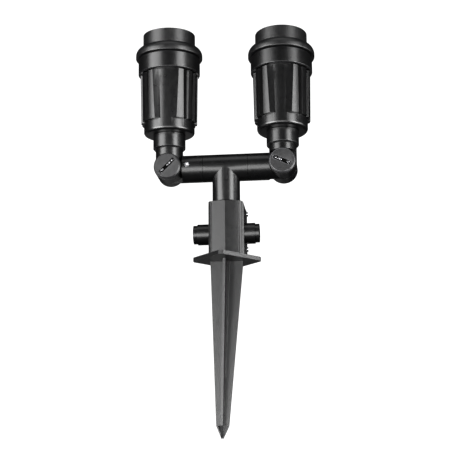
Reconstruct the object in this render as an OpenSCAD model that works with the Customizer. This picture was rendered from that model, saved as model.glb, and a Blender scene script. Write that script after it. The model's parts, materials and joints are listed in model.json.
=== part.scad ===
// Twin-head garden light projector on a ground spike.
// Origin: centre of the ground flange's underside. +Z up, X along the tee, -Y to the front.

/* [Stake] */
// Depth of the spike tip below the ground flange
spike_len = 175; // [140:1:240]
// Distance from the spike's axis to a fin's edge, just under the flange
spike_half_top = 16.6; // [12:0.1:20]
// Distance from the spike's axis to a fin's edge, at the shoulder of the tip
spike_half_low = 6.3; // [4:0.1:9]
// Thickness of the spike's fins
fin_t = 2.6; // [2:0.1:4]
// Height of the pointed tip
tip_h = 12; // [8:1:20]
// Distance from the axis to the flange's blunted corners
flange_reach = 33.9; // [30:0.1:40]
// Thickness of the ground flange
flange_t = 4; // [3:0.5:6]
// Lean of the flange and fins in their seat, towards the left at the tip
spike_lean = 1.9; // [0:0.1:3]
// Turn of the flange and fins about the spike's axis
spike_turn = -4; // [-10:0.5:10]

/* [Housing] */
// Height of the cable housing above the flange
housing_h = 54.6; // [50:0.1:60]
// Half of the housing's width at its parting plane
housing_half_w = 18.4; // [18:0.1:21]
// Distance from the axis to the front ridge
housing_front = 16.4; // [16:0.1:19]
// Distance from the axis to the flat back
housing_back = 16.6; // [16:0.1:20]
// Height of the connectors' axis above the flange's underside
connector_z = 28.15; // [24:0.05:30]
// Distance from the axis to the connectors' outer ends
connector_reach = 33.05; // [32:0.05:38]

/* [Tee and elbows] */
// Height of the tee's cross tube above the flange's underside
tee_z = 97.65; // [85:0.05:120]
// Half of the length of the tee's own cross tube
tee_half = 22.6; // [20:0.1:25]
// Radius of the tubes and of the elbow discs
tube_r = 14; // [13.5:0.1:15]
// Distance from the axis to the elbow pivots
elbow_x = 58.2; // [55:0.1:70]
// Forward lean of the left arm as it is set
left_lean = 2; // [-10:0.5:15]
// Forward lean of the right arm as it is set, negative to the rear
right_lean = -2.4; // [-10:0.2:15]
// Direction of the left knob's coin slot, anticlockwise from level
left_slot_angle = 44; // [0:1:180]
// Direction of the right knob's coin slot, anticlockwise from level
right_slot_angle = -25; // [-180:1:0]

/* [Lamp heads] */
// Radius of the neck nut
neck_r = 16.5; // [16:0.1:17.5]
// Radius of the smooth band at the bottom of the body
base_r = 26; // [26:0.1:27]
// Radius over the ribs at their lower ends
rib_r_low = 28.8; // [28.6:0.1:30]
// Radius over the ribs at the collar
rib_r_top = 29.8; // [29.5:0.1:30.4]
// Radius of the collar
collar_r = 31.9; // [31.6:0.1:34]
// Radius of the focus ring's flange
ring_r = 34.6; // [34:0.1:37]
// Radius of the hood
hood_r = 27; // [26.8:0.1:28]

/* [Hidden] */
$fn = 96;

// running clearance of shafts and sleeves that turn, and the gap between parts that pass each other
run = 0.05;
gap = 0.3;
// clearance between fixed parts that slip over each other
slip = 0.05;

// spike
tip_r = 1;
core_len = 116;
core_half_top = 3.4;
core_half_low = 2.2;
corner_cut = 2.4;
spigot_r = 9;
spigot_flange_r = 11;

// housing, raised clear of the leaning flange
seat_gap = 0.65;
housing_z = flange_t + seat_gap;
spigot_top = housing_z + 5.6;
wall = 2.4;
housing_top = housing_z + housing_h;
floor_z = housing_z + 2.5;
cavity_top = housing_top - 12.6;
facet_left_x = 14.6;
facet_right_x = 12.6;
facet_y = 14;
cheek_left = [-16.9, -12];
cheek_right = [16.9, -12.37];
corner_y = 11.24;
post_r = 13.95;
post_low_r = 13;
post_low_z = cavity_top - 2;
collar_z = housing_top - 8.4;
collar_t = 2.6;
collar_in_r = 11.6;
lug_x = housing_half_w + 1.6;
lug_y = [1, 9];
lug_screw_y = 5;
lug_screw_z = [housing_z + 8.2, housing_z + 44.8];
tongue_t = 2.5;
tongue_x = housing_half_w - wall - tongue_t - 0.1;
screw_r = 1.5;
screw_head_r = 2.3;
screw_head_h = 1.3;

// connectors
barrel_r = 10.5;
barrel_end = 28.8;
nose_r = 9.4;
socket_r = 6.6;
socket_floor = 21;
contact_r = 1;
contact_end = 28.4;
conn_flange_r = 11.8;
conn_start = 9.7;
conn_seal_t = 1;

// tee and elbows
sleeve_r = 11;
sleeve_end = 42.5;
wire_r = 8.5;
half_depth = 15;
stub_start = tube_r + gap;
bolt_r = 3;
nut_corner_r = 5.6;
nut_t = 4.4;
knob_r = 13.4;
knob_t = 3.5;
knob_back = half_depth + gap;
slot_len = 20;
slot_w = 3.7;
slot_depth = 2.3;
bolt_head_r = 8.6;
// middle and length of each tab on the bolt's head, along the left knob's slot
head_tabs = [[-6.1, 2.4], [3.1, 4], [7.3, 1.6]];
set_screw_x = 38.8;
set_screw_lift = 7;

// heights in a lamp head, above the elbow's pivot
neck_z = 20.9;
base_z = 36.5;
rib_z = 48.4;
collar_low = 100;
collar_top = 117.6;
ring_low = 118.6;
ring_edge = 122.2;
shoulder_r = 7.8;
rim_round = 1;
hood_top = 144.4;
lens_z = 126;
gasket_z = lens_z - 1.6;
heat_z = 66;
sink_fin_z = heat_z - 14;
body_floor_z = base_z + 4.2;
driver_z = base_z + 7.6;
barrel_z = 88;
barrel_h = 31;
key_z = 107;
lens_seat_z = barrel_z + 25;
ring_seat_r = 29.2;

// ribs, as degrees round from the front, on each side of the plain front and back panels
rib_angles = [for (half = [0, 180], i = [0:5]) half + 32.5 + i * 23];
rib_half_w = 2.5;
rib_foot_w = 4.3;
panel_edge = 13.5;

// ---------- small helpers ----------

// a cylinder along X from x0 to x1
module x_rod(x0, x1, r) {
    translate([min(x0, x1), 0, 0]) rotate([0, 90, 0]) cylinder(h = abs(x1 - x0), r = r);
}

// a cylinder along Y from y0 to y1
module y_rod(y0, y1, r, sides = 96) {
    translate([0, max(y0, y1), 0]) rotate([90, 0, 0]) cylinder(h = abs(y1 - y0), r = r, $fn = sides);
}

// a ring about Z between two heights
module ring(z0, z1, r_in, r_out) {
    translate([0, 0, z0]) difference() {
        cylinder(h = z1 - z0, r = r_out);
        translate([0, 0, -1]) cylinder(h = z1 - z0 + 2, r = r_in);
    }
}

// a ring about X between two places
module x_ring(x0, x1, r_in, r_out) {
    difference() {
        x_rod(x0, x1, r_out);
        x_rod(min(x0, x1) - 1, max(x0, x1) + 1, r_in);
    }
}

// places an arm on the tee's axis: side is -1 on the left and 1 on the right
module on_arm(side) {
    translate([0, 0, tee_z])
        rotate([side < 0 ? left_lean : right_lean, 0, 0])
            children();
}

// places a lamp head or an elbow at the pivot of an arm
module on_elbow(side) {
    on_arm(side) translate([side * elbow_x, 0, 0]) children();
}

// ---------- ground spike ----------

// the outline of one fin, from under the flange to the point
module fin_outline() {
    shoulder = -(spike_len - tip_h);
    polygon([
        [-spike_half_top, 0], [-spike_half_low, shoulder], [-tip_r, -spike_len],
        [tip_r, -spike_len], [spike_half_low, shoulder], [spike_half_top, 0]
    ]);
}

module fin() {
    rotate([90, 0, 0]) linear_extrude(height = fin_t, center = true) fin_outline();
}

// the square core where the fins cross
module spike_core() {
    intersection_for (a = [0, 90])
        rotate([90, 0, a]) linear_extrude(height = 20, center = true)
            polygon([
                [-core_half_top, 0], [-core_half_low, -core_len],
                [core_half_low, -core_len], [core_half_top, 0]
            ]);
}

module flange_plan() {
    full = flange_reach + corner_cut;
    intersection() {
        polygon([[-full, 0], [0, -full], [full, 0], [0, full]]);
        square(2 * flange_reach, center = true);
    }
}

// the flange and fins lean and turn together; the spigot over them stays upright
module ground_spike() {
    color("dimgray") {
        rotate([0, spike_lean, 0]) rotate([0, 0, spike_turn]) {
            linear_extrude(height = flange_t) flange_plan();
            for (a = [0, 90]) rotate([0, 0, a]) fin();
            spike_core();
            translate([0, 0, -spike_len + 0.01])
                cylinder(h = tip_h, r1 = tip_r, r2 = spike_half_low, $fn = 4);
        }
        translate([0, 0, flange_t / 2]) cylinder(h = floor_z + 0.1 - flange_t / 2, r = spigot_r);
        translate([0, 0, floor_z + 0.1]) cylinder(h = spigot_top - floor_z - 0.1, r = spigot_flange_r);
    }
}

// ---------- cable housing ----------

// the housing's outline in plan, drawn in by a wall thickness
module housing_plan(inset) {
    w = housing_half_w - inset;
    polygon([
        [-w, 0], cheek_left + [inset, 0.7 * inset], [-facet_left_x + 0.8 * inset, -facet_y + inset],
        [0, -housing_front + inset], [facet_right_x - 0.8 * inset, -facet_y + inset],
        cheek_right + [-0.8 * inset, 0.8 * inset], [w, -corner_y + 0.7 * inset], [w, 7], [w - 5, housing_back - inset], [-w + 5, housing_back - inset], [-w, 7]
    ]);
}

// the housing's outline from the front, with rounded upper corners
module housing_elevation() {
    r = 3;
    translate([-30, housing_z]) square([60, housing_h - r]);
    translate([-housing_half_w + r, housing_top - r]) square([2 * (housing_half_w - r), r]);
    for (s = [-1, 1]) translate([s * (housing_half_w - r), housing_top - r]) circle(r = r);
}

// both halves of the housing as one, before it is parted
module housing_whole() {
    difference() {
        union() {
            intersection() {
                linear_extrude(height = housing_top) housing_plan(0);
                rotate([90, 0, 0]) linear_extrude(height = 80, center = true) housing_elevation();
            }
            housing_lug();
        }
        translate([0, 0, floor_z]) linear_extrude(height = cavity_top - floor_z) housing_plan(wall);
        translate([0, 0, -1]) cylinder(h = 20, r = spigot_r + slip);
        // post socket, with the collar that holds the post's groove
        translate([0, 0, cavity_top - 1]) cylinder(h = collar_z - cavity_top + 1, r = post_low_r + slip);
        translate([0, 0, collar_z - 1]) cylinder(h = collar_t + 2, r = collar_in_r + slip);
        translate([0, 0, collar_z + collar_t]) cylinder(h = 20, r = post_low_r + slip);
        // side holes for the connectors
        translate([0, 0, connector_z]) x_rod(-60, 60, barrel_r + slip);
        shadow_grooves();
    }
}

// upright grooves: two beside the right front facet, one at the edge of the left facet
module shadow_grooves() {
    translate([facet_right_x, -facet_y, 0])
        rotate([0, 0, atan2(cheek_right.y + facet_y, cheek_right.x - facet_right_x)]) {
            translate([0.9, -1, 0]) cube([0.8, 1.9, 120]);
            translate([3.7, -1, 0]) cube([0.45, 1.6, 120]);
        }
    translate([-facet_left_x, -facet_y, 0])
        rotate([0, 0, atan2(facet_y - housing_front, facet_left_x)])
            translate([0.7, -1, 0]) cube([0.4, 1.6, 120]);
}

// the lug on the right side that takes the two cover screws
module housing_lug() {
    low = housing_z + 2.4;
    top = housing_top - 3.5;
    translate([0, lug_y[1], 0]) rotate([90, 0, 0]) linear_extrude(height = lug_y[1] - lug_y[0])
        polygon([
            [housing_half_w - 1, low], [lug_x, low], [lug_x, top - 3.7],
            [housing_half_w - 0.1, top], [housing_half_w - 1, top]
        ]);
}

module screw_holes(r) {
    for (z = lug_screw_z) translate([0, lug_screw_y, z]) x_rod(8, 40, r);
}

// the front half's two tongues, which reach behind the rear half's right wall
module screw_tongues(grow) {
    for (z = lug_screw_z) {
        translate([tongue_x - grow, -6, z - 3.2 - grow])
            cube([tongue_t + 2 * grow, 14 + grow, 6.4 + 2 * grow]);
        translate([tongue_x, -6, z - 3.2]) cube([tongue_t + 0.8, 5.8, 6.4]);
    }
}

module housing_front() {
    color("dimgray") {
        intersection() {
            housing_whole();
            translate([-40, -60, 0]) cube([80, 60, 100]);
        }
        difference() {
            screw_tongues(0);
            screw_holes(screw_r + slip);
        }
    }
}

module housing_rear() {
    color("dimgray") difference() {
        intersection() {
            housing_whole();
            translate([-40, 0, 0]) cube([80, 60, 100]);
        }
        screw_tongues(slip);
        screw_holes(screw_r + slip);
    }
}

module cover_screws() {
    color("silver") for (z = lug_screw_z) translate([0, lug_screw_y, z]) difference() {
        union() {
            x_rod(tongue_x, lug_x, screw_r);
            x_rod(lug_x, lug_x + screw_head_h, screw_head_r);
        }
        for (a = [0, 90]) rotate([a, 0, 0])
            translate([lug_x + screw_head_h - 0.7, -1.5, -0.3]) cube([2, 3, 0.6]);
    }
}

// ---------- connectors ----------

// the housing's inside in plan, drawn in further by inset, as a column at the connectors' height
module inside_column(inset) {
    translate([0, 0, -20]) linear_extrude(height = 40) housing_plan(wall + inset);
}

// a round panel connector; the flange at its inner end follows the slanting walls
module connector(side) {
    translate([0, 0, connector_z]) difference() {
        union() {
            intersection() {
                x_rod(side * conn_start, side * housing_half_w, conn_flange_r);
                inside_column(conn_seal_t + slip);
            }
            x_rod(side * conn_start, side * barrel_end, barrel_r);
            x_rod(side * (barrel_end - 1), side * connector_reach, nose_r);
        }
        x_rod(side * socket_floor, side * (connector_reach + 1), socket_r);
        for (s = [-1, 1]) translate([0, s * 3, 0]) x_rod(0, side * 40, contact_r + slip);
    }
}

module inlet_connector() {
    color("dimgray") connector(-1);
}

module outlet_connector() {
    color("dimgray") connector(1);
}

module connector_contacts() {
    color("goldenrod") for (side = [-1, 1], s = [-1, 1])
        translate([0, s * 3, connector_z]) x_rod(side * 6, side * contact_end, contact_r);
}

// gaskets between the connectors' flanges and the housing's walls
module connector_seals() {
    color("black") for (side = [-1, 1])
        translate([0, 0, connector_z]) difference() {
            intersection() {
                x_ring(side * (conn_start - 0.4), side * housing_half_w, barrel_r + slip, conn_flange_r);
                inside_column(slip);
            }
            inside_column(conn_seal_t);
        }
}

module terminal_block() {
    color("ivory") difference() {
        translate([-9.5, -6, connector_z - 5.5]) cube([19, 12, 11]);
        for (s = [-1, 1]) {
            translate([0, s * 3, connector_z]) x_rod(-12, 12, contact_r + 0.2);
            for (x = [-5, 5]) translate([x, s * 3, connector_z + 1.5]) cylinder(h = 6, r = 1.7);
        }
    }
}

// ---------- tee ----------

module tee() {
    groove_z = collar_z - 0.1;
    color("dimgray") difference() {
        union() {
            translate([0, 0, tee_z]) {
                x_rod(-tee_half, tee_half, tube_r);
                x_rod(-sleeve_end, sleeve_end, sleeve_r);
            }
            translate([0, 0, housing_top + 1.3]) cylinder(h = tee_z - housing_top - 1.3, r = post_r);
            translate([0, 0, housing_top + 0.3]) cylinder(h = 1.01, r1 = post_low_r, r2 = post_r);
            translate([0, 0, post_low_z]) cylinder(h = tee_z - post_low_z, r = post_low_r);
        }
        translate([0, 0, tee_z]) x_rod(-60, 60, wire_r);
        translate([0, 0, post_low_z - 1]) cylinder(h = tee_z - post_low_z + 1, r = wire_r);
        translate([0, 0, groove_z]) difference() {
            cylinder(h = collar_t + 0.2, r = tube_r + 2);
            translate([0, 0, -1]) cylinder(h = collar_t + 3, r = collar_in_r);
        }
        for (side = [-1, 1]) translate([0, 0, tee_z])
            x_ring(side * (tee_half + 3), side * (tee_half + 5), sleeve_r - 1.2, sleeve_r + 1);
    }
}

// the ring that keeps water out round the post's foot
module post_seal() {
    color("black") ring(housing_top, housing_top + 0.3, post_low_r + slip, post_r + 0.5);
}

// ---------- arms and elbows ----------

// half of a lapped elbow: a disc about Y on the -Y side, and a tube that rises along Z
module lap_half(tube_top) {
    difference() {
        union() {
            y_rod(-half_depth, -gap, tube_r);
            intersection() {
                cylinder(h = stub_start + 0.5, r = tube_r);
                translate([-20, -40 - gap, -1]) cube([40, 40, 40]);
            }
            translate([0, 0, stub_start]) cylinder(h = tube_top - stub_start, r = tube_r);
        }
        y_rod(-40, 40, bolt_r + 0.1);
        // the wires' way round the clamp bolt and up the tube
        difference() {
            y_rod(-8, 2, 10);
            y_rod(-9, 3, 6.2);
        }
        translate([0, 0, 7.5]) cylinder(h = tube_top, r = wire_r);
    }
}

// the groove for the elbow's seal, on the lap face of lap_half
module seal_groove() {
    difference() {
        y_rod(-gap - 1.2, 1, 12.9);
        y_rod(-gap - 3, 3, 11.1);
    }
}

// the pocket for the clamp nut, in the outer face of lap_half
module nut_pocket() {
    y_rod(-half_depth - 1, -half_depth + nut_t, nut_corner_r + 0.1, 6);
}

// the recess for the knob's hub, in the outer face of lap_half
module hub_recess() {
    y_rod(-half_depth - 1, -half_depth + 3, 5.3);
}

// an arm: lap_half laid along the tee's axis, with a sleeve over the tee's tube
module arm_part(is_rear) {
    len = elbow_x - tee_half - gap;
    difference() {
        lap_half(len);
        translate([0, 0, elbow_x - sleeve_end - 0.5]) cylinder(h = 40, r = sleeve_r + run);
        seal_groove();
        if (is_rear) nut_pocket(); else hub_recess();
        // set screw, on the side away from the lap
        translate([0, 0, elbow_x - set_screw_x]) rotate([0, 0, -set_screw_lift]) {
            y_rod(5, 20, 2 + slip);
            y_rod(tube_r - 1.2, 20, 3.2);
        }
    }
}

// turns a piece drawn in the frame of lap_half into its arm's place
module arm_pose(side) {
    if (side < 0) rotate([0, 90, 0]) rotate([0, 0, 180]) children();
    else rotate([0, -90, 0]) children();
}

module arm(side) {
    color("dimgray") on_elbow(side) arm_pose(side) arm_part(side < 0);
}

module elbow_seal(side) {
    color("black") on_elbow(side) arm_pose(side) difference() {
        y_rod(-gap - 1.15, -0.15, 12.8);
        y_rod(-gap - 3, 3, 11.2);
    }
}

module arm_seal(side) {
    color("black") translate([0, 0, tee_z])
        x_ring(side * (tee_half + 3.1), side * (tee_half + 4.9), sleeve_r - 1.15, sleeve_r);
}

module set_screw(side) {
    color("silver") on_elbow(side) arm_pose(side)
        translate([0, 0, elbow_x - set_screw_x]) rotate([0, 0, -set_screw_lift]) difference() {
            union() {
                y_rod(sleeve_r + 0.3, tube_r - 1.2, 2);
                y_rod(tube_r - 1.2, tube_r - 0.1, 2.4);
            }
            y_rod(tube_r - 1.4, 20, 1.1, 6);
        }
}

// turns a piece drawn in the frame of lap_half into its head's place
module head_pose(side) {
    rotate([0, 0, side < 0 ? 0 : 180]) children();
}

// the nut, drawn in the outer face of lap_half
module nut_in_lap() {
    difference() {
        y_rod(-half_depth + 0.2, -half_depth + nut_t, nut_corner_r, 6);
        y_rod(-40, 0, bolt_r + run);
    }
}

// the nut sits in the rear half: the arm's on the left, the head's on the right
module clamp_nut(side) {
    color("silver") on_elbow(side)
        if (side < 0) arm_pose(side) nut_in_lap();
        else head_pose(side) nut_in_lap();
}

function slot_turn(side) = side < 0 ? -left_slot_angle : -right_slot_angle;

module clamp_bolt_solid() {
    y_rod(-knob_back - 1.2, -knob_back - 0.2, bolt_head_r);
    y_rod(-knob_back - 1, half_depth - 0.4, bolt_r);
}

// the bolt, with the tabs that stand up from its head in the upper half of the slot
module clamp_bolt(side) {
    color("silver") on_elbow(side) {
        clamp_bolt_solid();
        rotate([0, slot_turn(side), 0]) for (tab = head_tabs)
            translate([-side * tab[0] - tab[1] / 2, -knob_back - 2.2, -0.1])
                cube([tab[1], 1.2, 1.7]);
    }
}

// the knob that a coin turns, at the front of either elbow
module clamp_knob(side) {
    face = -knob_back - knob_t;
    color("dimgray") on_elbow(side) difference() {
        union() {
            y_rod(-knob_back, face + 1.2, knob_r);
            translate([0, face + 1.2, 0]) rotate([90, 0, 0])
                cylinder(h = 1.2, r1 = knob_r, r2 = knob_r - 1.2);
            y_rod(-knob_back - 0.1, -half_depth + 2.6, 5);
        }
        clamp_bolt_solid();
        translate([0, face, 0]) rotate([0, slot_turn(side), 0])
            cube([slot_len, 2 * slot_depth, slot_w], center = true);
    }
}

// the head's half of the elbow, with the threaded spigot that the neck nut grips
module knuckle(side) {
    color("dimgray") on_elbow(side) head_pose(side) difference() {
        union() {
            lap_half(neck_z + 3);
            ring(neck_z + 3, base_z + 4, wire_r, 12);
        }
        if (side < 0) hub_recess(); else nut_pocket();
    }
}

// ---------- lamp head ----------

module neck_nut(side) {
    color("dimgray") on_elbow(side) difference() {
        translate([0, 0, neck_z]) union() {
            cylinder(h = 1.2, r1 = neck_r - 1.2, r2 = neck_r);
            translate([0, 0, 1.2]) cylinder(h = base_z - neck_z - 1.4, r = neck_r);
        }
        translate([0, 0, neck_z - 1]) cylinder(h = 4.1, r = tube_r + slip);
        translate([0, 0, neck_z + 3.1]) cylinder(h = 20, r = 12 + slip);
        translate([0, 0, base_z - 7]) cylinder(h = 20, r = 14.6 + slip);
    }
}

// one rib in plan, pointing along -Y; its flank is drawn out towards a plain panel
module rib_plan(flank_left, flank_right) {
    far = 34;
    reach = 27.4 * sin(32.5 - panel_edge);
    polygon([
        [flank_left ? -reach : -rib_foot_w, -26 - (flank_left ? -0.1 : 0)],
        [-rib_half_w, -rib_r_top], [-rib_half_w, -far], [rib_half_w, -far],
        [rib_half_w, -rib_r_top],
        [flank_right ? reach : rib_foot_w, -26 - (flank_right ? -0.1 : 0)],
        [rib_foot_w, -20], [-rib_foot_w, -20]
    ]);
}

module ribs() {
    h = collar_low - rib_z;
    intersection() {
        translate([0, 0, rib_z]) cylinder(h = h, r1 = rib_r_low, r2 = rib_r_top);
        union() for (i = [0:len(rib_angles) - 1])
            rotate([0, 0, rib_angles[i]]) translate([0, 0, rib_z])
                linear_extrude(height = h) rib_plan(i % 6 == 0, i % 6 == 5);
    }
}

// the smooth outside of the body: rounded base band and the cone between the ribs
module body_core() {
    round_r = 3.2;
    rotate_extrude() {
        translate([0, base_z]) square([base_r - round_r, round_r]);
        translate([0, base_z + round_r]) square([base_r, rib_z - base_z - round_r]);
        translate([base_r - round_r, base_z + round_r]) circle(r = round_r);
    }
    translate([0, 0, rib_z]) cylinder(h = collar_low - rib_z, r1 = base_r, r2 = rib_r_top - 2);
}

module body_shell(side) {
    color("dimgray") on_elbow(side) difference() {
        union() {
            body_core();
            ribs();
            translate([0, 0, collar_low - 0.5]) cylinder(h = 6.5, r = 27.8);
            translate([0, 0, base_z - 6.5]) cylinder(h = 8, r = 14.6);
        }
        // inside: room for the driver, a ledge and seat for the heat sink, room for the barrel
        translate([0, 0, body_floor_z]) cylinder(h = 40, r = 22.9);
        translate([0, 0, heat_z - 4]) cylinder(h = 40, r = 23.4);
        translate([0, 0, barrel_z - 4]) cylinder(h = 40, r = 25.4);
        translate([0, 0, base_z - 10]) cylinder(h = 20, r = 12 + slip);
    }
}

module collar(side) {
    color("dimgray") on_elbow(side) difference() {
        union() {
            translate([0, 0, collar_low + 0.9]) cylinder(h = 0.8, r1 = collar_r - 0.8, r2 = collar_r);
            translate([0, 0, collar_low + 1.7]) cylinder(h = collar_top - collar_low - 1.7, r = collar_r);
        }
        translate([0, 0, collar_low - 1]) cylinder(h = 7.1, r = 27.8 + slip);
        translate([0, 0, collar_low + 6]) cylinder(h = 40, r = ring_seat_r + run);
    }
}

// flange and hood in section: a rim with a rounded shoulder that runs up into the hood
module ring_section() {
    difference() {
        union() {
            translate([24.6, ring_low]) square([ring_r - rim_round - 24.6, ring_edge - ring_low]);
            translate([ring_r - rim_round, ring_low + rim_round]) circle(r = rim_round);
            translate([24.6, ring_low + rim_round])
                square([ring_r - 24.6, ring_edge - ring_low - rim_round]);
            intersection() {
                translate([ring_r - shoulder_r, ring_edge]) circle(r = shoulder_r);
                translate([24.6, ring_edge - 1]) square([12, 12]);
            }
            translate([24.6, ring_edge - 0.1]) square([hood_r - 24.6, hood_top - ring_edge + 0.1]);
        }
        // seat of the glass and its gasket, from below
        translate([20, ring_low - 1]) square([6.1, lens_z + 3 - ring_low + 1]);
    }
}

module focus_ring(side) {
    color("dimgray") on_elbow(side) difference() {
        union() {
            rotate_extrude() ring_section();
            ring(collar_low + 6.6, ring_low + 0.1, 27.4, ring_seat_r);
            ring(ring_low, gasket_z, 25.6, ring_seat_r);
        }
        // slots that drive the lens barrel's two keys
        for (a = [0, 180]) rotate([0, 0, a])
            translate([26, -2.5, collar_low]) cube([10, 5, ring_low - collar_low - 1.6]);
    }
}

module front_glass(side) {
    color("lightblue") on_elbow(side)
        translate([0, 0, lens_z]) cylinder(h = 3, r = 26);
}

module glass_gasket(side) {
    color("black") on_elbow(side) ring(gasket_z, lens_z, 22.8, 26);
}

// tube that carries the projection lens and slides on the light tunnel
module lens_barrel(side) {
    color("dimgray") on_elbow(side) difference() {
        union() {
            translate([0, 0, barrel_z]) cylinder(h = barrel_h, r = 22.4);
            translate([-28.2, -2.2, key_z]) cube([56.4, 4.4, 4]);
        }
        translate([0, 0, barrel_z - 1]) cylinder(h = barrel_h - 7, r = 20 + run);
        translate([0, 0, barrel_z]) cylinder(h = 40, r = 18);
        translate([0, 0, lens_seat_z]) cylinder(h = 20, r = 20);
    }
}

// a lens with one flat and one domed face; the dome meets a narrow flat at the rim
module domed_lens(r, edge_h, dome_h) {
    dome_r = r - 0.6;
    ball_r = (dome_r * dome_r + dome_h * dome_h) / (2 * dome_h);
    cylinder(h = edge_h, r = r);
    intersection() {
        translate([0, 0, edge_h + dome_h - ball_r]) sphere(r = ball_r);
        cylinder(h = edge_h + dome_h + 1, r = r - 0.3);
    }
}

module projection_lens(side) {
    color("lightblue") on_elbow(side) translate([0, 0, lens_seat_z]) domed_lens(19.95, 2, 4);
}

// tube that holds the condenser and the pattern slide over the light source
module light_tunnel(side) {
    color("dimgray") on_elbow(side) difference() {
        translate([0, 0, heat_z]) cylinder(h = 30, r = 20);
        translate([0, 0, heat_z - 1]) cylinder(h = 40, r = 16);
        translate([0, 0, heat_z + 6]) cylinder(h = 40, r = 18);
        translate([0, 0, heat_z + 28.4]) cylinder(h = 40, r = 19);
    }
}

module condenser_lens(side) {
    color("lightblue") on_elbow(side) translate([0, 0, heat_z + 6]) domed_lens(17.95, 1.5, 6);
}

// opaque disc with a ring pattern of round windows
module pattern_slide(side) {
    color("darkslategray") on_elbow(side) translate([0, 0, heat_z + 28.4]) difference() {
        cylinder(h = 1, r = 18.95);
        for (row = [0:2], i = [0:4 * row])
            rotate([0, 0, i * 360 / (4 * row + 1)]) translate([row * 5.5, 0, -1])
                cylinder(h = 3, r = 1.1, $fn = 24);
    }
}

module led_board(side) {
    color("white") on_elbow(side) translate([0, 0, heat_z]) cylinder(h = 1.6, r = 15.9);
}

module led(side) {
    color("gold") on_elbow(side) translate([0, 0, heat_z + 1.6]) {
        translate([-3.5, -3.5, 0]) cube([7, 7, 1]);
        intersection() {
            translate([0, 0, 0.9]) sphere(r = 2.8);
            translate([-4, -4, 0.9]) cube([8, 8, 4]);
        }
    }
}

// round plate with a stack of cooling fins under it
module heat_sink(side) {
    color("silver") on_elbow(side) {
        translate([0, 0, heat_z - 4]) cylinder(h = 4, r = 23.3);
        intersection() {
            translate([0, 0, sink_fin_z]) cylinder(h = heat_z - 2 - sink_fin_z, r = 22.6);
            for (i = [-3:3])
                translate([-25, 6 * i - 0.8, sink_fin_z - 1]) cube([50, 1.6, heat_z - 2 - sink_fin_z]);
        }
    }
}

module driver_board(side) {
    color("darkgreen") on_elbow(side) {
        for (a = [60, 180, 300]) rotate([0, 0, a])
            translate([18, 0, body_floor_z]) cylinder(h = driver_z - body_floor_z, r = 1.8);
        translate([0, 0, driver_z]) cylinder(h = 1.6, r = 22.6);
    }
    color("black") on_elbow(side) translate([0, 0, driver_z]) {
        translate([-8, -12, 1.5]) cube([9, 9, 4.5]);
        translate([9, 4, 1.5]) cylinder(h = 5, r = 4);
        translate([-12, 5, 1.5]) cube([12, 5, 3]);
    }
}

// ---------- output ----------

ground_spike();
housing_front();
housing_rear();
cover_screws();
inlet_connector();
outlet_connector();
connector_contacts();
connector_seals();
terminal_block();
tee();
post_seal();
arm(-1);  // left_arm
arm_seal(-1);  // left_arm_seal
set_screw(-1);  // left_set_screw
clamp_nut(-1);  // left_clamp_nut
elbow_seal(-1);  // left_elbow_seal
clamp_knob(-1);  // left_clamp_knob
clamp_bolt(-1);  // left_clamp_bolt
knuckle(-1);  // left_knuckle
neck_nut(-1);  // left_neck_nut
body_shell(-1);  // left_body_shell
collar(-1);  // left_collar
focus_ring(-1);  // left_focus_ring
front_glass(-1);  // left_front_glass
glass_gasket(-1);  // left_glass_gasket
lens_barrel(-1);  // left_lens_barrel
projection_lens(-1);  // left_projection_lens
light_tunnel(-1);  // left_light_tunnel
condenser_lens(-1);  // left_condenser_lens
pattern_slide(-1);  // left_pattern_slide
led_board(-1);  // left_led_board
led(-1);  // left_led
heat_sink(-1);  // left_heat_sink
driver_board(-1);  // left_driver_board
arm(1);  // right_arm
arm_seal(1);  // right_arm_seal
set_screw(1);  // right_set_screw
clamp_nut(1);  // right_clamp_nut
elbow_seal(1);  // right_elbow_seal
clamp_knob(1);  // right_clamp_knob
clamp_bolt(1);  // right_clamp_bolt
knuckle(1);  // right_knuckle
neck_nut(1);  // right_neck_nut
body_shell(1);  // right_body_shell
collar(1);  // right_collar
focus_ring(1);  // right_focus_ring
front_glass(1);  // right_front_glass
glass_gasket(1);  // right_glass_gasket
lens_barrel(1);  // right_lens_barrel
projection_lens(1);  // right_projection_lens
light_tunnel(1);  // right_light_tunnel
condenser_lens(1);  // right_condenser_lens
pattern_slide(1);  // right_pattern_slide
led_board(1);  // right_led_board
led(1);  // right_led
heat_sink(1);  // right_heat_sink
driver_board(1);  // right_driver_board
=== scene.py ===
"""The looks of a twin-head garden light projector on a ground spike.

Lengths are in metres in the row frame: +Z up along the tee's post, +X along the tee, -Y front.
"""

import json
import math

import bmesh
import bpy
from mathutils import Matrix, Vector


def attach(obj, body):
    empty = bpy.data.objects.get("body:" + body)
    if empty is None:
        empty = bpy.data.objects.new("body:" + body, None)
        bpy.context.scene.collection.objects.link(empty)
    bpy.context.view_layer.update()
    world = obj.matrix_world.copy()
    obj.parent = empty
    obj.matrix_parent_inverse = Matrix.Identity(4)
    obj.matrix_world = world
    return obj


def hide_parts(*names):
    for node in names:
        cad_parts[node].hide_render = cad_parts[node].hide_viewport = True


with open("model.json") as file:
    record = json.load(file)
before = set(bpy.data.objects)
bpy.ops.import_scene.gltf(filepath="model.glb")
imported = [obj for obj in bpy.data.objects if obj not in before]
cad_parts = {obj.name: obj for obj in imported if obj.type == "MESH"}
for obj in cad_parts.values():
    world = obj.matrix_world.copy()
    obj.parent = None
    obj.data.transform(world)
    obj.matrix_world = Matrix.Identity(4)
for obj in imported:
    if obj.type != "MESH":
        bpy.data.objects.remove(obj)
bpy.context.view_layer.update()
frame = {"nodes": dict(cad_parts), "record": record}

MM = 0.001
RECORD = frame["record"]
JOINTS = {joint["name"]: joint for joint in RECORD["behaviour"]["joints"]}
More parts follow.
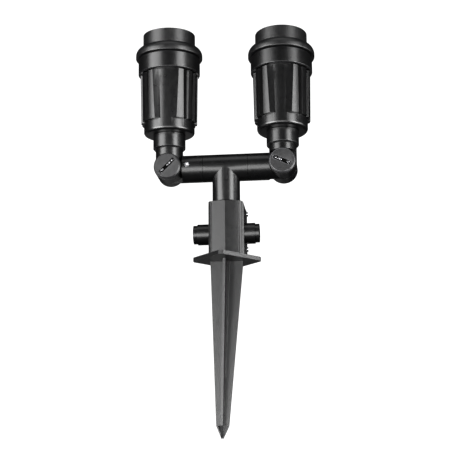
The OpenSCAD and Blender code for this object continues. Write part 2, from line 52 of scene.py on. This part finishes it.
BODY_OF = {
    node: body for body, nodes in RECORD["behaviour"]["bodies"].items() for node in nodes
}
SLOT_OF = {part["node"]: part["material_slot"] for part in RECORD["subparts"]}
BASE_COLOR = {entry["slot"]: entry["base_color"] for entry in RECORD["materials"]}
# the mouldings under studio light are a deeper black than the record's nominal colour
DEEPEN = {"satin_black": 0.08, "grained_black": 0.10, "housing_black": 0.08, "inner_black": 0.4}
SIDES = ("left", "right")


# ---------- camera ----------

# direction of the camera from the tee, and the roll of its picture
CAMERA_AZIMUTH = math.radians(5.707)
CAMERA_ELEVATION = math.radians(-14.716)
CAMERA_ROLL = math.radians(-0.476)
CAMERA_DISTANCE = 1.2811
CAMERA_LENS_MM = 100.664
CAMERA_SENSOR_MM = 36
# how far right of and above the picture's middle the tee's centre stands
TEE_RIGHT, TEE_UP = 0.00112, 0.0580


def camera_axes():
    """The picture's right, its up, and the direction back towards the camera."""
    az, el = CAMERA_AZIMUTH, CAMERA_ELEVATION
    back = Vector((math.sin(az) * math.cos(el), -math.cos(az) * math.cos(el), math.sin(el)))
    level = Vector((math.cos(az), math.sin(az), 0))
    up = back.cross(level)
    cos, sin = math.cos(CAMERA_ROLL), math.sin(CAMERA_ROLL)
    return level * cos + up * sin, up * cos - level * sin, back


RIGHT, UP, BACK = camera_axes()
TEE = Vector((0, 0, JOINTS["left_roll"]["pos_m"][2]))


def add_camera():
    data = bpy.data.cameras.new("camera")
    data.sensor_width = CAMERA_SENSOR_MM
    data.lens = CAMERA_LENS_MM
    camera = bpy.data.objects.new("camera", data)
    place = TEE + BACK * CAMERA_DISTANCE - RIGHT * TEE_RIGHT - UP * TEE_UP
    turn = Matrix((RIGHT, UP, BACK)).transposed().to_4x4()
    camera.matrix_world = Matrix.Translation(place) @ turn
    bpy.context.scene.collection.objects.link(camera)
    bpy.context.scene.camera = camera


add_camera()


# ---------- light and floor ----------

FLOOR_Z = -0.40
FLOOR_REACH = 4
FLOOR_CLOUDS = 0.08
FLOOR_TONES = (0.80, 0.80, 0.79), (0.86, 0.86, 0.85)
# azimuth and elevation from the camera's own axis, width and height, all in degrees, and radiance
SOFTBOXES = {
    "softbox_left": (-50, -4, 46, 28, 13.5),
    "softbox_left_high": (-58, 24, 42, 28, 5.0),
    "softbox_right": (52, -4, 28, 28, 14.0),
    "softbox_right_high": (48, 24, 28, 28, 7.0),
    "softbox_far_right": (80, -4, 24, 28, 5.0),
    "softbox_front": (-3, -2, 38, 32, 4.0),
    "softbox_above": (0, 85, 60, 30, 0.9),
    "softbox_back": (-165, -29, 60, 16, 0.2),
}
SOFTBOX_DISTANCE = 1.6
AMBIENT = 0.02
AMBIENT_COLOR = (0.96, 0.97, 1, 1)


def add_softbox(name, azimuth, elevation, width, height, radiance):
    az, el = math.radians(azimuth), math.radians(elevation)
    towards = RIGHT * (math.sin(az) * math.cos(el)) + BACK * (math.cos(az) * math.cos(el))
    towards += UP * math.sin(el)
    data = bpy.data.lights.new(name, "AREA")
    data.shape = "RECTANGLE"
    data.size = 2 * SOFTBOX_DISTANCE * math.tan(math.radians(width / 2))
    data.size_y = 2 * SOFTBOX_DISTANCE * math.tan(math.radians(height / 2))
    data.energy = radiance * math.pi * data.size * data.size_y
    light = bpy.data.objects.new(name, data)
    side = UP.cross(towards).normalized()
    turn = Matrix((side, towards.cross(side), towards)).transposed().to_4x4()
    light.matrix_world = Matrix.Translation(TEE + towards * SOFTBOX_DISTANCE) @ turn
    light.visible_camera = False
    bpy.context.scene.collection.objects.link(light)


def add_world():
    """White behind the object, and a dim grey that fills the shadows."""
    world = bpy.data.worlds.new("studio")
    bpy.context.scene.world = world
    world.use_nodes = True
    tree = world.node_tree
    tree.nodes.clear()
    path = tree.nodes.new("ShaderNodeLightPath")
    fill = tree.nodes.new("ShaderNodeBackground")
    fill.inputs["Color"].default_value = AMBIENT_COLOR
    fill.inputs["Strength"].default_value = AMBIENT
    backdrop = tree.nodes.new("ShaderNodeBackground")
    backdrop.inputs["Color"].default_value = (1, 1, 1, 1)
    mix = tree.nodes.new("ShaderNodeMixShader")
    out = tree.nodes.new("ShaderNodeOutputWorld")
    tree.links.new(path.outputs["Is Camera Ray"], mix.inputs[0])
    tree.links.new(fill.outputs[0], mix.inputs[1])
    tree.links.new(backdrop.outputs[0], mix.inputs[2])
    tree.links.new(mix.outputs[0], out.inputs["Surface"])


def add_floor():
    bm = bmesh.new()
    bmesh.ops.create_grid(bm, x_segments=8, y_segments=8, size=FLOOR_REACH)
    bm.transform(Matrix.Translation((0, 0, FLOOR_Z)))
    floor = new_object("floor", bm)
    material, nodes, links = new_material("pale_floor")
    shader = nodes["Principled BSDF"]
    shader.inputs["Roughness"].default_value = 0.8
    clouds = add_noise(nodes, links, FLOOR_CLOUDS, detail=4)
    links.new(add_ramp(nodes, links, clouds, *FLOOR_TONES), shader.inputs["Base Color"])
    floor.data.materials.append(material)
    floor.visible_shadow = False
    floor.visible_diffuse = False
    floor.visible_glossy = False


# ---------- materials ----------

# the part of a noise's range over which a colour, or a roughness, goes from low to high
COLOR_SPAN = (0.35, 0.65)
GLOSS_SPAN = (0.3, 0.7)
# sizes of the clouds in a moulding's colour and gloss, and of the haze on glass
COLOR_CLOUDS = 9 * MM
GLOSS_CLOUDS = 4 * MM
GLASS_HAZE = 14 * MM
GLASS_IOR = 1.5
GLASS_ROUGHNESS = (0.01, 0.05)
PHOSPHOR_SUBSURFACE = 0.3
PHOSPHOR_DEPTH = 1 * MM


def new_material(name):
    material = bpy.data.materials.new(name)
    material.use_nodes = True
    return material, material.node_tree.nodes, material.node_tree.links


def add_noise(nodes, links, size, detail=2, roughness=0.5, stretch=(1, 1, 1)):
    """Noise in the object's own coordinates, with features of about size metres."""
    coordinates = nodes.new("ShaderNodeTexCoord")
    mapping = nodes.new("ShaderNodeMapping")
    mapping.inputs["Scale"].default_value = stretch
    noise = nodes.new("ShaderNodeTexNoise")
    noise.inputs["Scale"].default_value = 1 / size
    noise.inputs["Detail"].default_value = detail
    noise.inputs["Roughness"].default_value = roughness
    links.new(coordinates.outputs["Object"], mapping.inputs["Vector"])
    links.new(mapping.outputs["Vector"], noise.inputs["Vector"])
    return noise.outputs["Fac"]


def add_ramp(nodes, links, value, low, high):
    """A colour between low and high as value goes over COLOR_SPAN."""
    ramp = nodes.new("ShaderNodeValToRGB")
    ramp.color_ramp.elements[0].position = COLOR_SPAN[0]
    ramp.color_ramp.elements[1].position = COLOR_SPAN[1]
    ramp.color_ramp.elements[0].color = (*low, 1)
    ramp.color_ramp.elements[1].color = (*high, 1)
    links.new(value, ramp.inputs["Fac"])
    return ramp.outputs["Color"]


def add_range(nodes, links, value, low, high):
    """A number between low and high as value goes over GLOSS_SPAN."""
    scale = nodes.new("ShaderNodeMapRange")
    scale.inputs["From Min"].default_value = GLOSS_SPAN[0]
    scale.inputs["From Max"].default_value = GLOSS_SPAN[1]
    scale.inputs["To Min"].default_value = low
    scale.inputs["To Max"].default_value = high
    links.new(value, scale.inputs["Value"])
    return scale.outputs["Result"]


def add_bump(nodes, links, height, depth):
    bump = nodes.new("ShaderNodeBump")
    bump.inputs["Distance"].default_value = depth
    links.new(height, bump.inputs["Height"])
    return bump.outputs["Normal"]


def surface(slot, roughness, spread, grain, depth, metallic=0.0, mottle=0.12, lighten=1.0,
            stretch=(1, 1, 1), specular=0.5, name=None):
    """A moulded, metal or board surface: grain in its normal, mottled colour, uneven gloss."""
    base = [c * DEEPEN.get(slot, 1) * lighten for c in BASE_COLOR[slot][:3]]
    material, nodes, links = new_material(name or slot)
    shader = nodes["Principled BSDF"]
    shader.inputs["Metallic"].default_value = metallic
    shader.inputs["Specular IOR Level"].default_value = specular
    clouds = add_noise(nodes, links, COLOR_CLOUDS, detail=3, stretch=stretch)
    color = add_ramp(
        nodes, links, clouds,
        [c * (1 - mottle) for c in base], [min(1, c * (1 + mottle)) for c in base],
    )
    links.new(color, shader.inputs["Base Color"])
    gloss = add_noise(
        nodes, links, GLOSS_CLOUDS, detail=4, roughness=0.6, stretch=stretch
    )
    links.new(
        add_range(nodes, links, gloss, roughness - spread, roughness + spread),
        shader.inputs["Roughness"],
    )
    fine = add_noise(nodes, links, grain, detail=2, roughness=0.6, stretch=stretch)
    normal = add_bump(nodes, links, fine, depth)
    links.new(normal, shader.inputs["Normal"])
    return material


def glass(slot):
    material, nodes, links = new_material(slot)
    shader = nodes["Principled BSDF"]
    shader.inputs["Base Color"].default_value = (*BASE_COLOR[slot][:3], 1)
    shader.inputs["Transmission Weight"].default_value = 1
    shader.inputs["IOR"].default_value = GLASS_IOR
    haze = add_noise(nodes, links, GLASS_HAZE, detail=3)
    links.new(add_range(nodes, links, haze, *GLASS_ROUGHNESS), shader.inputs["Roughness"])
    return material


def led_dome(slot):
    """Cast silicone full of yellow phosphor, unlit."""
    material = surface(slot, 0.35, 0.05, 0.2 * MM, 0.01 * MM, mottle=0.15)
    shader = material.node_tree.nodes["Principled BSDF"]
    shader.inputs["Subsurface Weight"].default_value = PHOSPHOR_SUBSURFACE
    shader.inputs["Subsurface Scale"].default_value = PHOSPHOR_DEPTH
    return material


MATERIALS = {
    "satin_black": surface("satin_black", 0.30, 0.03, 0.35 * MM, 0.010 * MM, specular=0.75),
    "grained_black": surface("grained_black", 0.38, 0.05, 0.8 * MM, 0.080 * MM, specular=0.75),
    "housing_black": surface("housing_black", 0.33, 0.04, 0.7 * MM, 0.035 * MM, specular=0.75),
    "inner_black": surface("inner_black", 0.60, 0.05, 0.5 * MM, 0.010 * MM),
    "seal_rubber": surface("seal_rubber", 0.72, 0.05, 0.3 * MM, 0.015 * MM),
    "bright_steel": surface("bright_steel", 0.26, 0.08, 0.25 * MM, 0.006 * MM, metallic=1.0),
    "clear_glass": glass("clear_glass"),
    "slide_mask": surface("slide_mask", 0.30, 0.04, 0.4 * MM, 0.004 * MM),
    "board_white": surface("board_white", 0.35, 0.05, 0.5 * MM, 0.006 * MM, mottle=0.03),
    "board_green": surface("board_green", 0.32, 0.05, 0.5 * MM, 0.010 * MM, mottle=0.2),
    "led_phosphor": led_dome("led_phosphor"),
    "heat_sink_alloy": surface(
        "heat_sink_alloy", 0.38, 0.08, 0.3 * MM, 0.012 * MM, metallic=1.0, stretch=(0.1, 1, 1)
    ),
    "contact_brass": surface("contact_brass", 0.28, 0.06, 0.2 * MM, 0.006 * MM, metallic=1.0),
    "terminal_ivory": surface("terminal_ivory", 0.45, 0.05, 0.4 * MM, 0.010 * MM, mottle=0.05),
}


def painted_highlight_edge(slot, name, lighten):
    """Rounded moulded edges painted lighter, a painted highlight where the edges catch the lamps,
    and glossier, unevenly.
    """
    return surface(
        slot, 0.30, 0.10, 0.6 * MM, 0.020 * MM, mottle=0.6, lighten=lighten, name=name
    )


# the knob is a copy of its grained black painted three times lighter: painted light where the
# knob's face catches the lamps
KNOB_PAINTED_LIGHT = surface(
    "grained_black", 0.42, 0.04, 0.5 * MM, 0.030 * MM, lighten=3, specular=0.75, name="knob_black_painted_light"
)
# the rounded edges of the mouldings are painted this many times lighter, a painted highlight; the
# knob's lower lip still more
EDGE_LIGHTEN = 6
KNOB_EDGE_LIGHTEN = 18
KNOB_EDGE = painted_highlight_edge("grained_black", "knob_lip_painted_highlight", KNOB_EDGE_LIGHTEN)
EDGES = {
    slot: painted_highlight_edge(slot, slot + "_edge", EDGE_LIGHTEN)
    for slot in ("satin_black", "grained_black", "housing_black")
}
# near-black, dull and without gloss: painted shade for faces deep in slots and between ribs
PAINTED_SHADE = surface(
    "inner_black", 0.80, 0.05, 0.5 * MM, 0.010 * MM, lighten=0.1, specular=0.1, name="recess_painted_shade"
)


# ---------- pieces ----------

WELD = 1e-6
SEAM_ANGLE = math.radians(0.3)
# faces that meet at more than this stay apart in the shading, and their edge is rounded
CREASE_ANGLE = math.radians(16)
BEVEL_SEGMENTS = 3
WIDE_EDGE = 3  # how much further a wide edge is rounded
# the rounded edges take the painted highlight, and the faces in recesses the painted shade
EDGE_INDEX, RECESS_INDEX = 1, 2  # places in a piece's list of materials

# how far the knob's slot reaches, which of its faces get painted shade and which lip edges a
# painted highlight
SLOT_REACH = 11 * MM  # from the knob's middle to beyond its slot's ends
LIP_LENGTH = 5 * MM  # the slot's long edges are longer, its short ones shorter
FACE_SLACK = 0.05 * MM
TAB_HEIGHT = 0.5 * MM
# the bottoms of the gaps between ribs, painted near-black as painted shade
RIB_GAP_RADII = 26 * MM, 28.4 * MM
RIB_GAP_SIDEWAYS = 0.60  # the gaps lie this much of their radius or more to the side


def new_object(name, bm):
    mesh = bpy.data.meshes.new(name)
    bm.to_mesh(mesh)
    bm.free()
    piece = bpy.data.objects.new(name, mesh)
    bpy.context.scene.collection.objects.link(piece)
    return piece


def clean_copy(node):
    """The CAD node's surface without its doubled corners and flat seams."""
    bm = bmesh.new()
    bm.from_mesh(frame["nodes"][node].data)
    bmesh.ops.remove_doubles(bm, verts=bm.verts, dist=WELD)
    bmesh.ops.dissolve_limit(
        bm, angle_limit=SEAM_ANGLE, verts=bm.verts[:], edges=bm.edges[:]
    )
    return bm


def soften(node, width_mm, wide=None, shade_mask=None, material=None, edge_material=None):
    """Stands for a CAD node with the same shape, its edges rounded by width_mm.

    Edges for which wide is true are rounded WIDE_EDGE times as far, and every rounded edge is
    painted lighter as a painted highlight. Faces that the given mask picks are painted near-black
    as painted shade.
    """
    bm = clean_copy(node)
    weight = bm.edges.layers.float.new("bevel_weight_edge")
    for face in bm.faces:
        face.smooth = True
        # faces in recesses are painted near-black, painted shade
        if shade_mask and shade_mask(face):
            face.material_index = RECESS_INDEX
    for edge in bm.edges:
        edge.smooth = edge.calc_face_angle(0) < CREASE_ANGLE
        if not edge.smooth:
            edge[weight] = 1 if wide and wide(edge) else 1 / WIDE_EDGE
    piece = new_object(node + "_skin", bm)
    bevel = piece.modifiers.new("rounded edges", "BEVEL")
    bevel.width = WIDE_EDGE * width_mm * MM
    bevel.segments = BEVEL_SEGMENTS
    bevel.limit_method = "WEIGHT"
    bevel.harden_normals = True
    bevel.miter_outer = "MITER_ARC"
    slot = SLOT_OF[node]
    main = material or MATERIALS[slot]
    for each in (main, edge_material or EDGES.get(slot, main), PAINTED_SHADE):
        piece.data.materials.append(each)
    # the rounded edges are painted lighter, a painted highlight
    bevel.material = EDGE_INDEX
    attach(piece, BODY_OF[node])
    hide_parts(node)


class Axis:
    """Heights along a joint's axis, pointing like a given vector, and spokes out from it."""

    def __init__(self, joint, like):
        self.pivot = Vector(JOINTS[joint]["pos_m"])
        self.along = Vector(JOINTS[joint]["axis"])
        if self.along.dot(Vector(like)) < 0:
            self.along.negate()

    def height(self, point):
        return (point - self.pivot).dot(self.along)

    def spoke(self, point):
        return point - self.pivot - self.along * self.height(point)

    def top(self, node):
        return max(self.height(vertex.co) for vertex in frame["nodes"][node].data.vertices)


def soften_clamp(side):
    """The clamp's knob and bolt.

    The knob is painted lighter all over as painted light, its coin slot is painted near-black as
    painted shade, and its rounded lower lip is painted still lighter as a painted highlight; the
    bolt is painted near-black as painted shade but for its tabs.
    """
    axis = Axis(f"{side}_clamp", (0, -1, 0))
    knob_front = axis.top(side + "_clamp_knob") - FACE_SLACK
    tab_back = axis.top(side + "_clamp_bolt") - TAB_HEIGHT

    def on_lower_lip(edge):
        ends = [vertex.co for vertex in edge.verts]
        on_face = min(map(axis.height, ends)) > knob_front
        near = max(axis.spoke(end).length for end in ends) < SLOT_REACH
        middle = axis.spoke((ends[0] + ends[1]) / 2)
        return on_face and near and middle.z < 0 and edge.calc_length() > LIP_LENGTH

    def in_slot(face):
        spoke = axis.spoke(face.calc_center_median())
        return abs(face.normal.dot(axis.along)) < 0.5 and spoke.length < SLOT_REACH

    def behind_tabs(face):
        return axis.height(face.calc_center_median()) < tab_back

    soften(
        side + "_clamp_knob", 0.25, wide=on_lower_lip, shade_mask=in_slot,
        material=KNOB_PAINTED_LIGHT, edge_material=KNOB_EDGE,
    )
    soften(side + "_clamp_bolt", 0.10, shade_mask=behind_tabs)


def soften_body(side):
    """The ribbed shell, painted near-black at the bottoms of the narrow gaps between its ribs, as
    painted shade.
    """
    axis = Axis(f"{side}_focus_turn", (0, 0, 1))

    def between_ribs(face):
        spoke = axis.spoke(face.calc_center_median())
        low, high = RIB_GAP_RADII
        outward = face.normal.dot(spoke.normalized()) > 0.9
        upright = abs(face.normal.dot(axis.along)) < 0.3
        sideways = abs(spoke.x) > RIB_GAP_SIDEWAYS * spoke.length
        return outward and upright and sideways and low < spoke.length < high

    soften(side + "_body_shell", 0.3, shade_mask=between_ribs)


# the rounding of each piece's edges, in millimetres
SOFTENED = {
    "ground_spike": 0.35, "housing_front": 0.3, "housing_rear": 0.3, "cover_screws": 0.1,
    "inlet_connector": 0.4, "outlet_connector": 0.4, "tee": 0.2,
}
SOFTENED_ON_EACH_SIDE = {
    "arm": 0.25, "clamp_nut": 0.2, "knuckle": 0.25, "neck_nut": 0.25,
    "collar": 0.3, "focus_ring": 0.3, "set_screw": 0.1,
}

for node, width in SOFTENED.items():
    soften(node, width)
for side in SIDES:
    for node, width in SOFTENED_ON_EACH_SIDE.items():
        soften(f"{side}_{node}", width)
    soften_clamp(side)
    soften_body(side)

for node, piece in frame["nodes"].items():
    piece.data.materials.clear()
    piece.data.materials.append(MATERIALS[SLOT_OF[node]])

add_world()
add_floor()
for name, setting in SOFTBOXES.items():
    add_softbox(name, *setting)
bpy.context.scene.view_settings.view_transform = "Standard"
bpy.context.scene.view_settings.look = "Medium High Contrast"
